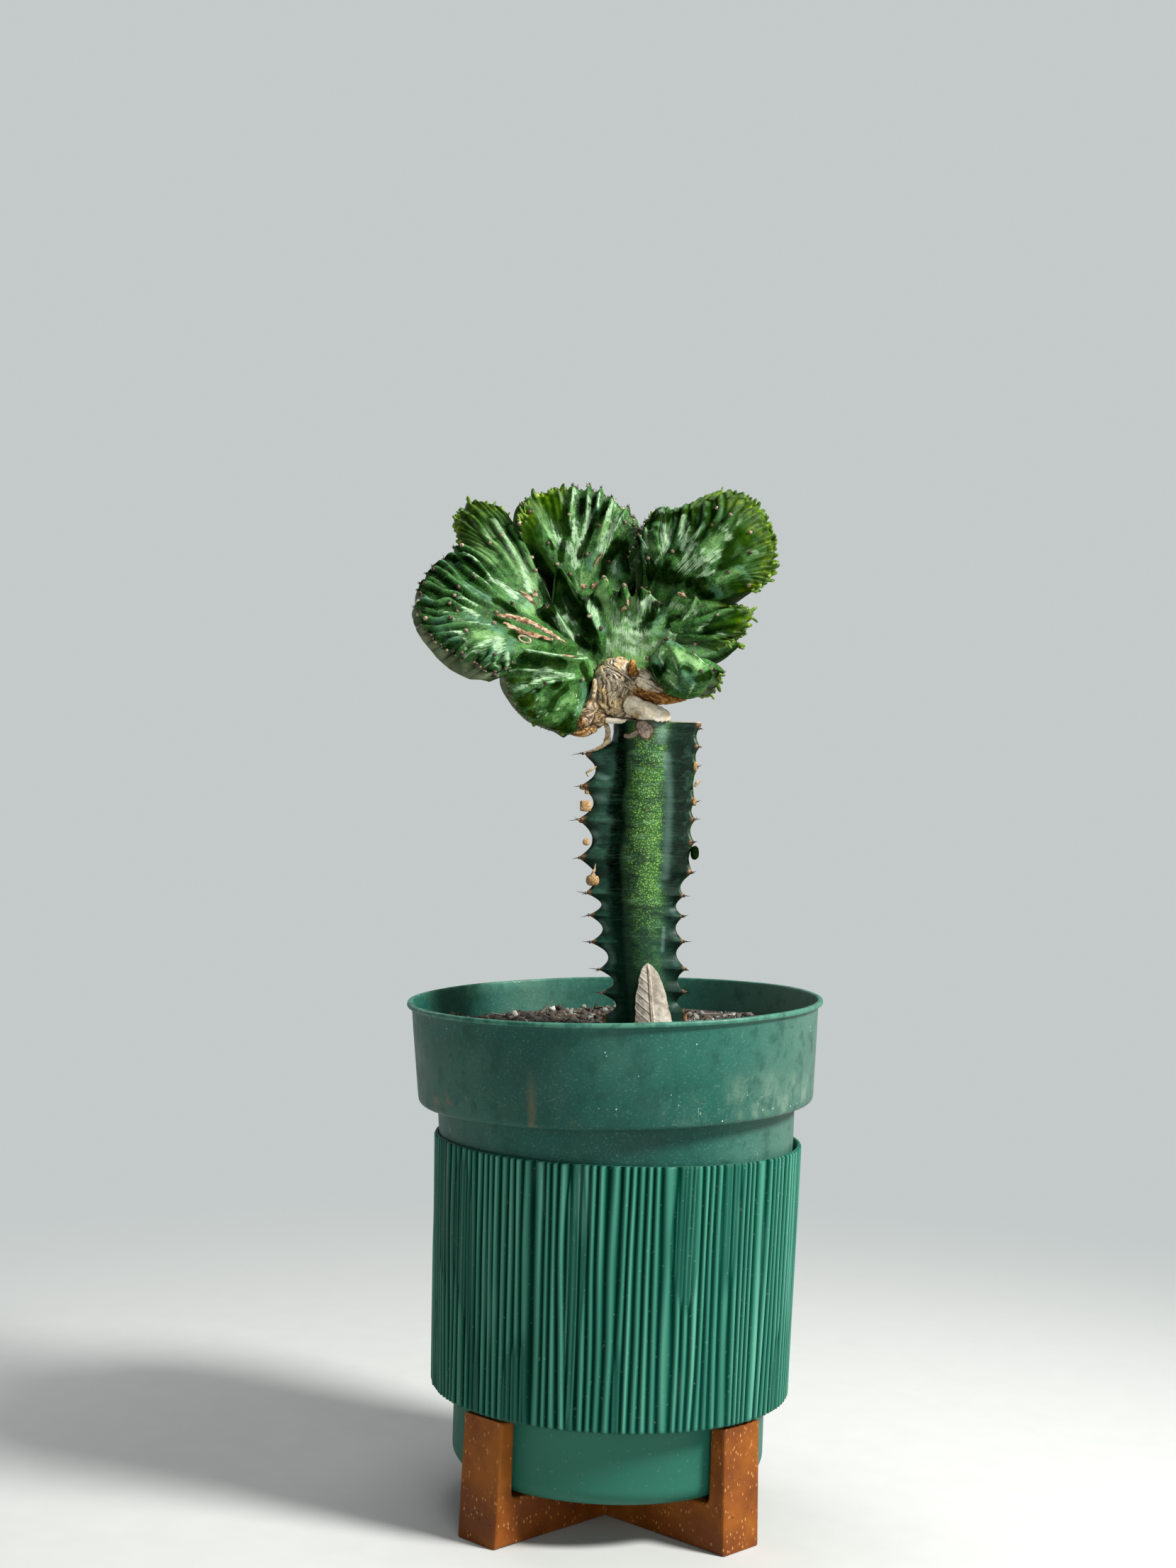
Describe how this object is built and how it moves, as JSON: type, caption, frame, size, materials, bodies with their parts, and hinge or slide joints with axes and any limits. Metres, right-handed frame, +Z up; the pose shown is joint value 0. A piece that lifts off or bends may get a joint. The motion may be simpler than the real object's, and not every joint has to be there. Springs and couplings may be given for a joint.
{
  "type": "potted grafted coral cactus",
  "caption": "Grafted coral cactus: a ruffled crest on a toothed three-winged stem, in a nursery pot inside a ribbed cover pot on a cross-shaped stand.",
  "frame": {"origin": "middle of the stand's underside, on the surface that it stands on", "axes": "+Z up; -Y is the front; the stand's legs point along the diagonals of X and Y"},
  "size_m": [0.1723, 0.17, 0.4199],
  "materials": {
    "stand_plastic": "satin brown wood-filled plastic with pale speckles",
    "cover_pot_plastic": "satin teal",
    "nursery_pot_plastic": "satin dark green, dusty and scratched",
    "potting_mix": "rough crumbs",
    "stem_skin": "waxy leaf skin",
    "crest_skin": "waxy leaf skin, marbled",
    "dried_leaf": "papery"
  },
  "bodies": {
    "root": {"stand": "stand_plastic", "cover_pot": "cover_pot_plastic", "nursery_pot": "nursery_pot_plastic", "soil": "potting_mix", "rootstock": "stem_skin", "crest": "crest_skin", "dry_leaf": "dried_leaf"}
  },
  "joints": []
}
